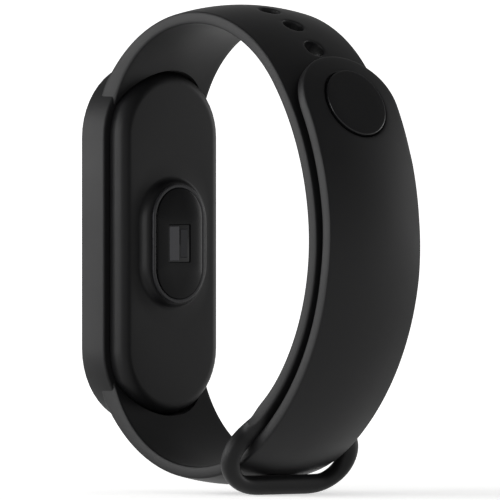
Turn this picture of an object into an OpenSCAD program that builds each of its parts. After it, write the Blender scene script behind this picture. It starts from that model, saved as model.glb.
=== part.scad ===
// Fitness tracker band: a sealed sensor capsule held in a silicone wrist strap.
// Origin at the middle of the wrist opening. X runs along the wrist, Z along the capsule,
// the display faces -Y and the stud closure is on the +Y side.

/* [Capsule] */
// Width of the capsule's barrel
capsule_w = 18.1; // [17.8:0.05:18.3]
// Length of the capsule's barrel
capsule_l = 46.9; // [45:0.1:48]
// Y of the capsule's rear plane
rear_y = -17.6; // [-17.8:0.05:-17.5]
// Y of the crown of the front glass
glass_y = -28.2; // [-28.6:0.1:-28]
// Wall of the rear housing
housing_wall = 0.8; // [0.6:0.05:1]
// Y of the joint between the mid frame and the rear housing
joint_y = -23.7; // [-23.8:0.05:-23.6]

/* [Carrier] */
// Wall of the silicone ring beside the capsule
carrier_wall = 1.05; // [0.9:0.05:1.4]
// Y of the ring's front edge
carrier_front = -24.9; // [-25.1:0.05:-24.8]
// Y of the ring's rear edge
carrier_rear = -20.2; // [-20.4:0.05:-20]

/* [Strap] */
// Width of the strap
strap_w = 17; // [16:0.1:17.4]
// Thickness of the strap along its two edges
edge_t = 1.6; // [1.4:0.05:1.8]
// Thickness of the strap along its middle
mid_t = 2.6; // [2.4:0.05:2.8]
// Gap between the two layers of strap
layer_gap = 0.08; // [0.05:0.01:0.15]
// Distance between neighbouring holes
hole_pitch = 5.3; // [5:0.1:6]
// Diameter of an unused hole
hole_d = 3; // [2.6:0.1:3.2]
// Number of free holes past the tip of the tongue
free_holes = 4; // [1:1:4]
// Number of holes covered by the tongue
covered_holes = 6; // [1:1:6]

/* [Closure] */
// Diameter of the stud's disc
stud_d = 9.8; // [9:0.1:10]
// Diameter of the recess around the disc
recess_d = 10.2; // [10.1:0.1:10.6]
// Diameter of the stud's neck
neck_d = 2.8; // [2.4:0.1:3]
// Diameter of the stud's rounded head
head_d = 3.6; // [3.2:0.1:3.7]
// Diameter of the hole that the head stretches
stretched_d = 4.1; // [4:0.05:4.3]
// Thickness of the round bar of the keeper loop
keeper_t = 2.7; // [2.5:0.05:2.7]

/* [Sensor] */
// Width of the raised sensor island
island_w = 10.1; // [9.8:0.1:10.4]
// Height of the raised sensor island
island_l = 16; // [15.6:0.1:16.4]
// Width of the clear optical window
optic_w = 4; // [3.6:0.1:4.2]
// Height of the clear optical window
optic_l = 5.2; // [4.8:0.1:5.4]

/* [Hidden] */
$fn = 96;

// Colours
silicone = "#1c1c1e";
gloss_black = "#0c0c0e";
board_green = "#1d5a3a";
gold = "#c9a24a";
steel = "#b8b8bc";

// ---- capsule plan: a stadium, so every ring and lid shares one straight half-length
barrel_r = capsule_w / 2;
straight = capsule_l / 2 - barrel_r;
bore_r = barrel_r + 0.1;
ring_r = bore_r + carrier_wall;
flange_r = barrel_r + 0.5;
inner_r = barrel_r - housing_wall;
adhesive_t = 0.1;
seal_t = 0.2;
frame_y = -25.3;
glass_inner_y = frame_y - adhesive_t;
housing_front = joint_y + seal_t;
floor_y = rear_y - 0.9;
crown_r = 19.2;
glass_r = 9.2;

// ---- side view of the strap: tangent arcs, given by the direction of the outward normal
// Each arc is [centre, inner radius]; the angle falls from the capsule's top to the keeper.
n_root = 155;
n_corner = 105;
n_shoulder = 37;
n_side = 5;
n_end = -51.5;
root = [-19.6, 20.2];
corner_r = 17;
top_r = 19.5;
side_r = 36.5;
low_r = 31;
layer = mid_t + layer_gap;

function dir(a) = [cos(a), sin(a)];
corner_c = root - corner_r * dir(n_root);
top_c = corner_c + (corner_r - top_r) * dir(n_corner);
side_c = top_c + (top_r - side_r) * dir(n_shoulder);
low_c = side_c + (side_r - low_r) * dir(n_side);

// The lower run is the arc that leaves the mirrored corner and touches the outer layer.
corner_low_c = [corner_c[0], -corner_c[1]];
run_start = corner_low_c + corner_r * dir(-n_corner);
run_offset = run_start - low_c;
outer_low_r = low_r + layer;
run_r = (outer_low_r * outer_low_r - run_offset * run_offset)
        / (2 * (outer_low_r - run_offset * dir(-n_corner)));
run_c = run_start - run_r * dir(-n_corner);
n_join = atan2(run_c[1] - low_c[1], run_c[0] - low_c[0]);

function hole_arc(a) =
    a > n_corner ? [corner_c, corner_r] :
    a > n_shoulder ? [top_c, top_r] :
    a > n_side ? [side_c, side_r] : [low_c, low_r];
function stud_arc(a) =
    a > n_shoulder ? [top_c, top_r + layer] :
    a > n_side ? [side_c, side_r + layer] :
    a > n_join ? [low_c, outer_low_r] :
    a > -n_corner ? [run_c, run_r] : [corner_low_c, corner_r];
function on_arc(arc, a, height) = arc[0] + (arc[1] + height) * dir(a);

// The strap thickens towards the capsule.
root_extra = 1.2;
function thicken(a) = root_extra * pow(max(0, abs(a) - n_corner) / (n_root - n_corner), 2);

// ---- closure
n_stud = 27.3;
n_hinge = 2.1;
tip_r = 8.3;
cap_floor = mid_t - 0.7;
hole_r = side_r + mid_t;
to_shoulder = (n_shoulder - n_stud) * PI / 180 * hole_r;
to_side = (n_stud - n_side) * PI / 180 * hole_r;
// The angle that a length of strap takes at a radius.
function degrees(length, radius) = length / radius * 180 / PI;
function hole_angle(s) =
    s > to_shoulder ? n_shoulder + degrees(s - to_shoulder, top_r + mid_t) :
    s > -to_side ? n_stud + degrees(s, hole_r) :
    n_side + degrees(s + to_side, low_r + mid_t);
tongue_to_shoulder = (n_shoulder - n_stud) * PI / 180 * (side_r + layer);
function tongue_angle(s) =
    s > tongue_to_shoulder
    ? n_shoulder + degrees(s - tongue_to_shoulder, top_r + layer)
    : n_stud + degrees(s, side_r + layer);
keeper_mid = [6.4, -28.45];
keeper_tilt = 248;
keeper_r = 4.4;
keeper_end = 5.9;
keeper_straight = 4.8;

// ---- helpers -------------------------------------------------------------------------

// A flat plan in X and Z, given thickness from y0 to y1.
module slab(y0, y1) {
    translate([0, y1, 0]) rotate([90, 0, 0]) linear_extrude(y1 - y0) children();
}

module stadium(r, half) {
    square([2 * r, 2 * half], center = true);
    for (s = [-1, 1]) translate([0, s * half]) circle(r);
}

module stadium_slab(r, y0, y1, half = straight) {
    slab(y0, y1) stadium(r, half);
}

// A section of [distance from the rim's centre line, y] carried round a stadium.
module around(section, half = straight) {
    for (turn = [0, 180]) rotate([0, turn, 0]) {
        translate([0, 0, -half]) rotate([-90, 0, 0]) rotate_extrude(angle = 180) polygon(section);
        translate([0, 0, -half]) linear_extrude(2 * half) polygon(section);
    }
}

// A box from its middle in X and Z and its two Y planes.
module block(x, z, w, l, y0, y1) {
    translate([x - w / 2, y0, z - l / 2]) cube([w, y1 - y0, l]);
}

// Stands children on the strap's inner face at the normal angle a, with +Z pointing outwards.
module on_strap(arc, a) {
    p = on_arc(arc, a, 0);
    translate([0, p[0], p[1]]) rotate([a - 90, 0, 0]) children();
}

// A round bar along Z from height h0 to h1.
module bar(d, h0, h1) {
    translate([0, 0, h0]) cylinder(d = d, h = h1 - h0);
}

// Cross-section of the strap: a flat inner face and a crowned outer face.
crown_steps = 8;
bevel = 0.3;
function strap_section(w, t_edge, t_mid) = concat(
    [[-w + bevel, 0], [w - bevel, 0], [w, bevel], [w, t_edge - bevel]],
    [for (k = [0 : crown_steps])
        let (u = (w - bevel) * cos(180 * k / crown_steps))
        [u, t_edge + (t_mid - t_edge) * (1 - pow(u / w, 2))]],
    [[-w, t_edge - bevel], [-w, bevel]]);

// One station of the sweep: a section standing at point p with its thickness along dir(a).
function station(p, a, w, t_edge, t_mid) =
    [for (q = strap_section(w, t_edge, t_mid)) [q[0], p[0] + q[1] * cos(a), p[1] + q[1] * sin(a)]];

module sweep(rings, closed = false) {
    n = len(rings[0]);
    last = len(rings) - 1;
    points = [for (r = rings) each r];
    sides = [for (i = [0 : closed ? last : last - 1], k = [0 : n - 1])
        let (j = (i + 1) % len(rings), m = (k + 1) % n)
        each [[i * n + k, i * n + m, j * n + m], [i * n + k, j * n + m, j * n + k]]];
    ends = [[for (k = [n - 1 : -1 : 0]) k], [for (k = [0 : n - 1]) last * n + k]];
    polyhedron(points, closed ? sides : concat(sides, ends), convexity = 6);
}

// Room for the capsule and its carrier at the root of each strap.
module root_room() {
    stadium_slab(bore_r + 0.1, rear_y - 20, rear_y + 8);
    stadium_slab(ring_r, rear_y - 20, carrier_rear);
}

root_run = 5;
function root_station(side) =
    let (p = [root[0], side * root[1]] - root_run * [cos(65), side * sin(65)])
    station(p, side * n_root, strap_w / 2, edge_t + root_extra, mid_t + root_extra);

// ---- strap ---------------------------------------------------------------------------

module carrier_frame() {
    round = 0.9;
    seat_y = joint_y + 0.05;
    color(silicone) difference() {
        around([[0, carrier_rear], [0, carrier_front], [ring_r - round, carrier_front],
            [ring_r - 0.3 * round, carrier_front + 0.3 * round], [ring_r, carrier_front + round],
            [ring_r, carrier_rear - 0.4], [ring_r - 0.4, carrier_rear]]);
        stadium_slab(bore_r, carrier_front - 1, carrier_rear + 1);
        stadium_slab(flange_r + 0.1, carrier_front - 1, seat_y);
    }
}

module hole_strap() {
    flare = 2;
    flare_from = -38;
    step = 4.5;
    angles = concat([for (a = [n_root : -step : n_end + 1]) a], [n_end]);
    color(silicone) difference() {
        sweep(concat([root_station(1)], [for (a = angles)
            let (w = strap_w / 2 + flare * pow(max(0, flare_from - a) / (flare_from - n_end), 2))
            station(on_arc(hole_arc(a), a, 0), a, w, edge_t + thicken(a), mid_t + thicken(a))]));
        root_room();
        for (i = [-covered_holes : free_holes])
            let (a = hole_angle(i * hole_pitch))
            on_strap(hole_arc(a), a) bar(i == 0 ? stretched_d : hole_d, -1, mid_t + 1);
    }
}

// An oval loop of round bar, moulded on the end of the hole strap, that holds the other strap.
// Two straight bars are joined by half ellipses.
module keeper_loop() {
    turn = 10;
    sides = 24;
    function loop_ring(half, t) =
        let (across = [keeper_r * cos(t), keeper_end * sin(t)], unit = across / norm(across))
        [for (k = [0 : sides - 1])
            let (a = 360 * k / sides, r = keeper_t / 2)
            [half * keeper_straight + keeper_end * cos(t) + r * cos(a) * unit[0],
             keeper_r * sin(t) + r * cos(a) * unit[1], r * sin(a)]];
    color(silicone) translate([0, keeper_mid[0], keeper_mid[1]]) rotate([keeper_tilt, 0, 0])
        sweep([for (half = [1, -1], t = [-90 : turn : 90]) loop_ring(half, t + 90 * (1 - half))],
              closed = true);
}

module stud_strap() {
    step = 4.5;
    angles = concat([for (a = [-n_root : step : n_hinge - 2]) a], [n_hinge]);
    color(silicone) difference() {
        sweep([for (ring = concat([root_station(-1)], [for (a = angles)
            station(on_arc(stud_arc(a), a, 0), a, strap_w / 2,
                    edge_t + thicken(a), mid_t + thicken(a))]))
            [for (k = [len(ring) - 1 : -1 : 0]) ring[k]]]);
        root_room();
    }
}

module strap_tongue() {
    slit = 0.05;
    start = slit - (n_stud - n_hinge) * PI / 180 * (side_r + layer);
    flat_run = [for (s = [start : 2.2 : 0]) s];
    tip = [for (k = [0 : 8]) tip_r * sin(10 * k)];
    color(silicone) difference() {
        sweep([for (ring = [for (s = concat(flat_run, tip))
            let (a = tongue_angle(s), w = s > 0 ? sqrt(tip_r * tip_r - s * s) : tip_r)
            station(on_arc(stud_arc(a), a, 0), a, w, edge_t,
                    edge_t + (mid_t - edge_t) * pow(w / tip_r, 2))])
            [for (k = [len(ring) - 1 : -1 : 0]) ring[k]]]);
        on_strap(stud_arc(n_stud), n_stud) {
            bar(recess_d, cap_floor - 0.05, mid_t + 1);
            bar(neck_d, -1, mid_t);
        }
    }
}

module stud_cap() {
    chamfer = 0.2;
    color(gloss_black) on_strap(stud_arc(n_stud), n_stud) union() {
        bar(stud_d, cap_floor, mid_t - 0.25);
        bar(stud_d - 2 * chamfer, cap_floor, mid_t - 0.05);
    }
}

module stud_peg() {
    chamfer = 0.3;
    tip = -layer + 0.2;
    color(gloss_black) on_strap(stud_arc(n_stud), n_stud) union() {
        bar(neck_d, tip, cap_floor);
        bar(head_d, tip + chamfer, tip + 1.1);
        bar(head_d - 2 * chamfer, tip, tip + 1.1);
    }
}

// ---- capsule shell -------------------------------------------------------------------

module rear_housing() {
    round = 1.5;
    island_r = island_w / 2;
    island_half = (island_l - island_w) / 2;
    island_y = rear_y + 1.25;
    color(silicone) difference() {
        union() {
            around([[0, floor_y], [inner_r, floor_y], [inner_r, housing_front],
                [barrel_r, housing_front], [barrel_r, rear_y - round],
                [barrel_r - 0.13 * round, rear_y - 0.5 * round],
                [barrel_r - 0.5 * round, rear_y - 0.13 * round],
                [barrel_r - round, rear_y], [0, rear_y]]);
            around([[0, floor_y], [island_r + 0.6, floor_y], [island_r + 0.6, rear_y],
                [island_r + 0.25, rear_y + 0.4], [island_r, island_y - 0.25],
                [island_r - 0.2, island_y], [0, island_y]], island_half);
        }
        stadium_slab(trim_r, window_floor, 0, window_half);
        stadium_slab(window_r - 0.6, floor_y - 1, 0, window_half);
        contact_places() cylinder(d = contact_d + 0.02, h = 4, center = true);
    }
}

window_r = 4.15;
window_half = 3.45;
trim_r = 4.7;
window_floor = -17.4;
window_y = -16.05;

module window_surround() {
    color(gloss_black) difference() {
        stadium_slab(window_r, window_floor, window_y, window_half);
        block(0, 0, optic_w, optic_l, -20, 0);
    }
}

module optical_window() {
    color("#3a3a40") block(0, 0, optic_w, optic_l, window_floor, window_y - 0.08);
}

module window_trim() {
    color("#3c3c40") difference() {
        stadium_slab(trim_r, window_floor, window_y - 0.1, window_half);
        stadium_slab(window_r, -20, 0, window_half);
    }
}

module mid_frame() {
    lip_r = flange_r - 1.5;
    color("#161618") difference() {
        stadium_slab(flange_r, frame_y, joint_y);
        stadium_slab(lip_r, frame_y - 1, joint_y + 1);
    }
}

module housing_seal() {
    color("#46464a") difference() {
        stadium_slab(barrel_r - 0.1, joint_y, housing_front);
        stadium_slab(inner_r, joint_y - 1, housing_front + 1);
    }
}

module front_glass() {
    steps = 7;
    function crown_y(r) = glass_y + crown_r - sqrt(crown_r * crown_r - r * r);
    color("#08080a") around(concat(
        [[0, glass_inner_y], [glass_r, glass_inner_y]],
        [for (k = [steps : -1 : 0]) let (r = glass_r * k / steps) [r, crown_y(r)]]));
}

module glass_adhesive() {
    color("#6a6a6e") difference() {
        stadium_slab(glass_r - 0.05, glass_inner_y, frame_y);
        stadium_slab(flange_r - 1.5, glass_inner_y - 1, frame_y + 1);
    }
}

// ---- display and boards --------------------------------------------------------------

module touch_layer() {
    color("#2a2a34") stadium_slab(flange_r - 1.7, glass_inner_y, glass_inner_y + 0.2);
}

display_y = glass_inner_y + 1.2;
board_front = display_y + 0.5;
board_rear = board_front + 0.8;
chip_y = board_rear + 0.9;

module display_panel() {
    color("#101018") block(0, 0, 12.6, 29, glass_inner_y + 0.2, display_y);
}

// A thin ribbon that leaves the panel, turns round the end of the main board and plugs in.
module display_flex() {
    ribbon_w = 6;
    thin = 0.15;
    turn_z = -21.6;
    plug_z = -18.4;
    panel_z = -14.2;
    color("#b5763a") {
        block(0, (panel_z + turn_z) / 2, ribbon_w, panel_z - turn_z, display_y, display_y + thin);
        block(0, turn_z + thin / 2, ribbon_w, thin, display_y + thin, board_rear + 0.35);
        block(0, (plug_z + turn_z) / 2, ribbon_w, plug_z - turn_z,
              board_rear + 0.35, board_rear + 0.35 + thin);
    }
}

module main_board() {
    color(board_green) stadium_slab(7.8, board_front, board_rear, 12.6);
}

module processor_chip() {
    color("#151517") block(-3.6, 10.4, 5.2, 5.2, board_rear, chip_y);
}

module memory_chip() {
    color("#151517") block(3.2, 9.6, 3, 4, board_rear, chip_y - 0.1);
}

module accelerometer() {
    color("#26262a") block(4.6, 12.9, 2, 1.8, board_rear, chip_y - 0.2);
}

module battery_cell() {
    color("#8d9096") block(0, -5.6, 14.6, 23, chip_y - 0.6, floor_y - 1);
}

module battery_board() {
    color(board_green) block(0, -17.8, 11, 1, chip_y, floor_y - 1.5);
}

module sensor_board() {
    color(board_green) block(0, 0, 9, 13, floor_y - 0.75, floor_y - 0.15);
}

lamp_y = floor_y - 0.15;

module photodiode() {
    color("#2b2f3a") block(-0.85, 0, 1.5, 2.6, lamp_y, lamp_y + 0.4);
}

module sensor_leds() {
    color("#cfd2c4") for (s = [-1, 1]) block(1.2, s * 1, 0.8, 1, lamp_y, lamp_y + 0.4);
}

module optical_barrier() {
    wall = 0.35;
    color("#0f0f10") difference() {
        block(0, 0, 5.2, 6.4, lamp_y, window_floor - 0.05);
        block(-0.95, 0, 2.1, 5, lamp_y - 1, window_floor + 1);
        block(0.85 + wall / 2, 0, 1.35, 5, lamp_y - 1, window_floor + 1);
    }
}

// ---- vibration motor -----------------------------------------------------------------

motor_z = 16.6;
motor_r = 3.5;
motor_front = board_rear + 0.05;
motor_rear = motor_front + 2.3;
skin = 0.2;
shaft_d = 0.8;

module motor_at() {
    translate([0, motor_front, motor_z]) rotate([-90, 0, 0]) children();
}

module motor_case() {
    color(steel) motor_at() difference() {
        cylinder(r = motor_r, h = motor_rear - motor_front);
        translate([0, 0, skin]) cylinder(r = motor_r - skin, h = motor_rear - motor_front - 2 * skin);
    }
}

module motor_shaft() {
    color(steel) motor_at() translate([0, 0, skin])
        cylinder(d = shaft_d, h = motor_rear - motor_front - 2 * skin);
}

// A half disc, so that it shakes as it turns.
module motor_rotor() {
    clear = 0.3;
    color("#8a7a5a") motor_at() translate([0, 0, skin + 0.3]) difference() {
        union() {
            cylinder(d = 2, h = 1.3);
            intersection() {
                cylinder(r = motor_r - skin - clear, h = 1.3);
                translate([-motor_r, 0, 0]) cube([2 * motor_r, motor_r, 2]);
            }
        }
        translate([0, 0, -1]) cylinder(d = shaft_d + 0.1, h = 4);
    }
}

// ---- antenna and charging ------------------------------------------------------------

module antenna() {
    thin = 0.15;
    strip_r = inner_r - 0.05;
    color(gold) translate([0, floor_y - 3.6, straight]) rotate([-90, 0, 0])
        rotate_extrude(angle = 90, start = 225) translate([strip_r - thin, 0]) square([thin, 2.4]);
}

contact_d = 1.5;

module contact_places() {
    for (s = [-1, 1]) translate([s * 3, rear_y - 3.4, -capsule_l / 2]) children();
}

module charge_contacts() {
    end_gap = 0.8;
    color(gold) contact_places() translate([0, 0, end_gap]) cylinder(d = contact_d, h = 2);
}

module contact_seals() {
    color("#7a2f2a") contact_places() translate([0, 0, 1.95]) difference() {
        cylinder(d = contact_d + 0.8, h = 0.6);
        translate([0, 0, -1]) cylinder(d = contact_d, h = 3);
    }
}

carrier_frame();
hole_strap();
keeper_loop();
stud_strap();
strap_tongue();
stud_cap();
stud_peg();
rear_housing();
mid_frame();
housing_seal();
front_glass();
glass_adhesive();
touch_layer();
display_panel();
display_flex();
main_board();
processor_chip();
memory_chip();
accelerometer();
battery_cell();
battery_board();
motor_case();
motor_shaft();
motor_rotor();
sensor_board();
sensor_leds();
photodiode();
optical_barrier();
window_surround();
optical_window();
window_trim();
antenna();
charge_contacts();
contact_seals();
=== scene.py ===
# %% [markdown]
# # A fitness tracker band
#
# The band is a sealed sensor capsule held in a silicone wrist strap. This lesson builds the
# skin of every visible piece round a fixed frame: the frame says where each piece is and what
# moves, and Blender adds the shapes and finishes that the eye judges.
#
# Everything is in metres in the file, but a band is easier to think about in millimetres, so
# the sizes below are in millimetres and one constant turns them into metres.

import math

import bmesh
import bpy
import numpy as np
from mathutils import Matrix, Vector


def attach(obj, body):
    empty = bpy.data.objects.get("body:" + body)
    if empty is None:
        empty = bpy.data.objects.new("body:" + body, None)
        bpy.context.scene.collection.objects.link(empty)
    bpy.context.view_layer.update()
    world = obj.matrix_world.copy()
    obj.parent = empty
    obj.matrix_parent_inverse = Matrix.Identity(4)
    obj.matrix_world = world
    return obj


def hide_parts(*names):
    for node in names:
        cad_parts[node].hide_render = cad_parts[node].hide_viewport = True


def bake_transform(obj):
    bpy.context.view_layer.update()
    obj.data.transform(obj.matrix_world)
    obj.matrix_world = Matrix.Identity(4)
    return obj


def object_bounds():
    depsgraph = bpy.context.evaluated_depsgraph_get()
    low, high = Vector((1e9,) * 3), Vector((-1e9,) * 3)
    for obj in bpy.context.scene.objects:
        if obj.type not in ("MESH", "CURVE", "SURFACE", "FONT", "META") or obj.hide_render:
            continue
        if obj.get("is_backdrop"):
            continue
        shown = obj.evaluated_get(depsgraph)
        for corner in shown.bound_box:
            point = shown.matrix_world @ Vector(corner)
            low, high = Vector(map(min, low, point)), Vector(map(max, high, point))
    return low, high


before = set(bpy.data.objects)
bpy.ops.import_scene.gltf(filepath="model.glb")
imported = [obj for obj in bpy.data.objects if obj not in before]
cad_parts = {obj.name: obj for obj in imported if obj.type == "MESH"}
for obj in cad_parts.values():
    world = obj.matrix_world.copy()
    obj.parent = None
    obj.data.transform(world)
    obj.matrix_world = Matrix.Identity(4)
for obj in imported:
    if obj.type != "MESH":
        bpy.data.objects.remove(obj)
CAD_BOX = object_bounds()
MM = 0.001
scene = bpy.context.scene
print("box in mm:", [round(c / MM, 1) for corner in CAD_BOX for c in corner])


# %% [markdown]
# ## Camera, floor and light
#
# The band is seen from behind its capsule, at the height of its middle, through a long lens
# that hardly shows perspective. Black objects are drawn by their reflections, so the room
# matters more than the colour. A glowing table and a dimmer ceiling give the quiet grey of
# the faces, and three softboxes at the sides give the brighter edges.

# %% Place the camera
VIEW_TURN = math.radians(42)
VIEW_RISE = math.radians(0.9)
CAMERA_DISTANCE = 2.5
FRAME_WIDTH = 500 / 7.35 * MM
ASIDE = np.array([1.13, 0.71]) * MM

towards = np.array([
    math.sin(VIEW_TURN) * math.cos(VIEW_RISE),
    math.cos(VIEW_TURN) * math.cos(VIEW_RISE),
    math.sin(VIEW_RISE)])
to_right = np.array([-math.cos(VIEW_TURN), math.sin(VIEW_TURN), 0])
to_top = np.cross(towards, to_right)

camera = bpy.data.objects.new("camera", bpy.data.cameras.new("camera"))
scene.collection.objects.link(camera)
camera.data.sensor_width = 36
camera.data.lens = camera.data.sensor_width * CAMERA_DISTANCE / FRAME_WIDTH
camera.data.clip_start = 0.05
camera.data.clip_end = 40
camera.location = towards * CAMERA_DISTANCE - to_right * ASIDE[0] - to_top * ASIDE[1]
camera.rotation_mode = "QUATERNION"
camera.rotation_quaternion = Vector(-towards).to_track_quat("-Z", "Y")
scene.camera = camera
print("lens:", round(camera.data.lens), "mm")


# %% [markdown]
# ## Helpers for materials
#
# Colours are written as the hex values that a paint chart gives, and one function turns them
# into the linear light that shaders work in. One more function adds a node, sets it and
# links it.

# %% Colour and node helpers
def linear(hex_value):
    channels = [int(hex_value[i:i + 2], 16) / 255 for i in (1, 3, 5)]
    return [c / 12.92 if c <= 0.04045 else ((c + 0.055) / 1.055) ** 2.4 for c in channels] + [1]


def add_node(tree, kind, links=(), **settings):
    """Adds a node. Settings name properties or input sockets, and links are (output, input)."""
    node = tree.nodes.new(kind)
    for name, value in settings.items():
        if hasattr(node, name):
            setattr(node, name, value)
        else:
            node.inputs[name.replace("_", " ")].default_value = value
    for source, target in links:
        tree.links.new(source, node.inputs[target])
    return node


def new_material(name, colour, roughness, ior=1.5, **sockets):
    """A material with constants on the shader's own sockets. Returns it, its tree and shader."""
    material = bpy.data.materials.new(name)
    material.use_nodes = True
    tree = material.node_tree
    shader = tree.nodes["Principled BSDF"]
    shader.inputs["Base Color"].default_value = linear(colour)
    shader.inputs["Roughness"].default_value = roughness
    shader.inputs["IOR"].default_value = ior
    for socket, value in sockets.items():
        shader.inputs[socket.replace("_", " ")].default_value = value
    return material, tree, shader


def object_noise(tree, size_mm, detail=2, stretch=(1, 1, 1)):
    """Noise whose features are about size_mm across, in object coordinates."""
    place = add_node(tree, "ShaderNodeTexCoord")
    turn = add_node(tree, "ShaderNodeMapping", [(place.outputs["Object"], "Vector")],
                    Scale=stretch)
    return add_node(tree, "ShaderNodeTexNoise", [(turn.outputs["Vector"], "Vector")],
                    Scale=1 / (size_mm * MM), Detail=detail)


def bump_from(tree, shader, height, depth_mm, strength=1.0):
    bump = add_node(tree, "ShaderNodeBump", [(height, "Height")],
                    Distance=depth_mm * MM, Strength=strength)
    tree.links.new(bump.outputs["Normal"], shader.inputs["Normal"])


def vary(tree, value, low, high, target):
    """Maps a 0 to 1 value to the span low to high on a socket."""
    span = add_node(tree, "ShaderNodeMapRange", [(value, "Value")], To_Min=low, To_Max=high)
    tree.links.new(span.outputs["Result"], target)


# %% [markdown]
# ## Floor and lamps
#
# The floor is a pale acrylic light table just under the keeper loop. Its glow is turned down
# close to the band, a painted shade round it, so the loop still drops a soft shadow and the
# strap isn't lit from below. The room is bright at the level of the band and dims overhead,
# which leaves the upward faces dark.
#
# Each softbox has one job: the side one lights the carrier, the flank one the edges of the
# strap and the sensor island, and the rim one the far side of the strap.

# %% Make the floor and the lamps
FLOOR_GAP = 0.05 * MM
FLOOR_REACH = 30.0
ROOM_LOW, ROOM_HIGH = 0.8, 0.3
# glow of the table near the band and far from it: the lower near value is painted shade round the band
TABLE_GLOW_WITH_PAINTED_SHADE = (0.5, 0.95)

pale, pale_tree, pale_shader = new_material(
    "opal acrylic light table", "#F4F4F3", 0.8, Emission_Color=linear("#FFFFFF"))
spot = add_node(pale_tree, "ShaderNodeTexCoord")
reach = add_node(pale_tree, "ShaderNodeVectorMath", [(spot.outputs["Object"], 0)],
                 operation="LENGTH")
# painted shade: the table's glow falls off towards the band, a darker pool round it
glow_with_painted_shade = add_node(pale_tree, "ShaderNodeMapRange", [(reach.outputs["Value"], "Value")],
                From_Min=0.05, From_Max=0.4, To_Min=TABLE_GLOW_WITH_PAINTED_SHADE[0], To_Max=TABLE_GLOW_WITH_PAINTED_SHADE[1])
pale_tree.links.new(glow_with_painted_shade.outputs["Result"], pale_shader.inputs["Emission Strength"])
floor_z = CAD_BOX[0].z - FLOOR_GAP
floor_mesh = bpy.data.meshes.new("floor")
floor_mesh.from_pydata(
    [(x, y, floor_z) for x, y in ((-1, -1), (1, -1), (1, 1), (-1, 1))], [], [(0, 1, 2, 3)])
floor_mesh.transform(Matrix.Diagonal((FLOOR_REACH, FLOOR_REACH, 1, 1)))
floor_mesh.materials.append(pale)
floor = bpy.data.objects.new("floor", floor_mesh)
scene.collection.objects.link(floor)
floor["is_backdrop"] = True


def softbox(name, direction, distance, size, radiance):
    """A square lamp that faces the middle of the band, with radiance on the room's scale."""
    data = bpy.data.lights.new(name, "AREA")
    data.size = size
    data.energy = radiance * math.pi * size * size
    lamp = bpy.data.objects.new(name, data)
    aim = Vector(direction).normalized()
    lamp.location = aim * distance
    lamp.rotation_mode = "QUATERNION"
    lamp.rotation_quaternion = aim.to_track_quat("Z", "Y")
    scene.collection.objects.link(lamp)


world = bpy.data.worlds.new("studio room")
scene.world = world
world.use_nodes = True
sky = world.node_tree
back = sky.nodes["Background"]
back.inputs["Color"].default_value = linear("#FFFFFF")
look = add_node(sky, "ShaderNodeTexCoord")
height = add_node(sky, "ShaderNodeSeparateXYZ", [(look.outputs["Generated"], 0)])
ramp = add_node(sky, "ShaderNodeMapRange", [(height.outputs["Z"], "Value")],
                From_Min=0.0, From_Max=0.4, To_Min=ROOM_LOW, To_Max=ROOM_HIGH)
sky.links.new(ramp.outputs["Result"], back.inputs["Strength"])
softbox("side softbox", (0.72, -0.66, 0.16), 0.6, 0.42, 5.5)
softbox("flank softbox", (0.99, 0.02, 0.08), 0.6, 0.36, 6.2)
softbox("rim softbox", (-0.95, 0.26, 0.12), 0.6, 0.25, 3.6)
scene.view_settings.view_transform = "Standard"
print("floor at", round(floor_z / MM, 2), "mm")


# %% [markdown]
# ## Silicone
#
# The strap is compression-moulded silicone rubber. Its mould is blasted, so the skin is a soft
# matt with a very fine grain, and handling polishes it unevenly. Silicone bends light little,
# so its reflections are weaker than a hard plastic's. The real grain is about 0.02 mm; it is
# drawn at 0.09 mm so that it still shows.

# %% Silicone rubber
SILICONE_GRAIN = 0.09
SILICONE_HANDLING = 9.0


def silicone_rubber():
    material, tree, shader = new_material(
        "moulded silicone rubber", "#0D0D0E", 0.46, 1.41, Specular_IOR_Level=0.24,
        Sheen_Weight=0.02, Sheen_Roughness=0.4)
    handled = object_noise(tree, SILICONE_HANDLING, detail=3)
    vary(tree, handled.outputs["Fac"], 0.40, 0.54, shader.inputs["Roughness"])
    grain = object_noise(tree, SILICONE_GRAIN, detail=1)
    bump_from(tree, shader, grain.outputs["Fac"], 0.004, 0.35)
    return material


# %% [markdown]
# ## Plastics of the capsule
#
# The rear housing is polycarbonate with a spark-eroded texture, finer and duller than the
# strap. The sensor window is polished, with the faint smears that skin leaves on it, and the
# stud has a satin face. Each finish is one function with its values beside it.

# %% Capsule and stud plastics
SPARK_GRAIN = 0.16
SATIN_GRAIN = 0.3


def textured_polycarbonate():
    material, tree, shader = new_material(
        "spark-eroded polycarbonate", "#0C0C0D", 0.42, 1.58, Specular_IOR_Level=0.13)
    cloud = object_noise(tree, 6.0, detail=2)
    vary(tree, cloud.outputs["Fac"], 0.40, 0.50, shader.inputs["Roughness"])
    grain = object_noise(tree, SPARK_GRAIN, detail=2)
    bump_from(tree, shader, grain.outputs["Fac"], 0.006, 0.3)
    return material


def polished_polycarbonate():
    material, tree, shader = new_material(
        "polished black polycarbonate", "#050506", 0.1, 1.58, Specular_IOR_Level=0.08)
    wipe = object_noise(tree, 3.0, detail=4, stretch=(1, 1, 0.3))
    vary(tree, wipe.outputs["Fac"], 0.14, 0.24, shader.inputs["Roughness"])
    return material


def satin_plastic(name, colour, roughness, grain_mm=SATIN_GRAIN):
    material, tree, shader = new_material(name, colour, roughness, 1.5, Specular_IOR_Level=0.2)
    grain = object_noise(tree, grain_mm, detail=3)
    vary(tree, grain.outputs["Fac"], roughness - 0.04, roughness + 0.05,
         shader.inputs["Roughness"])
    bump_from(tree, shader, grain.outputs["Fac"], 0.003, 0.25)
    return material


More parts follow.
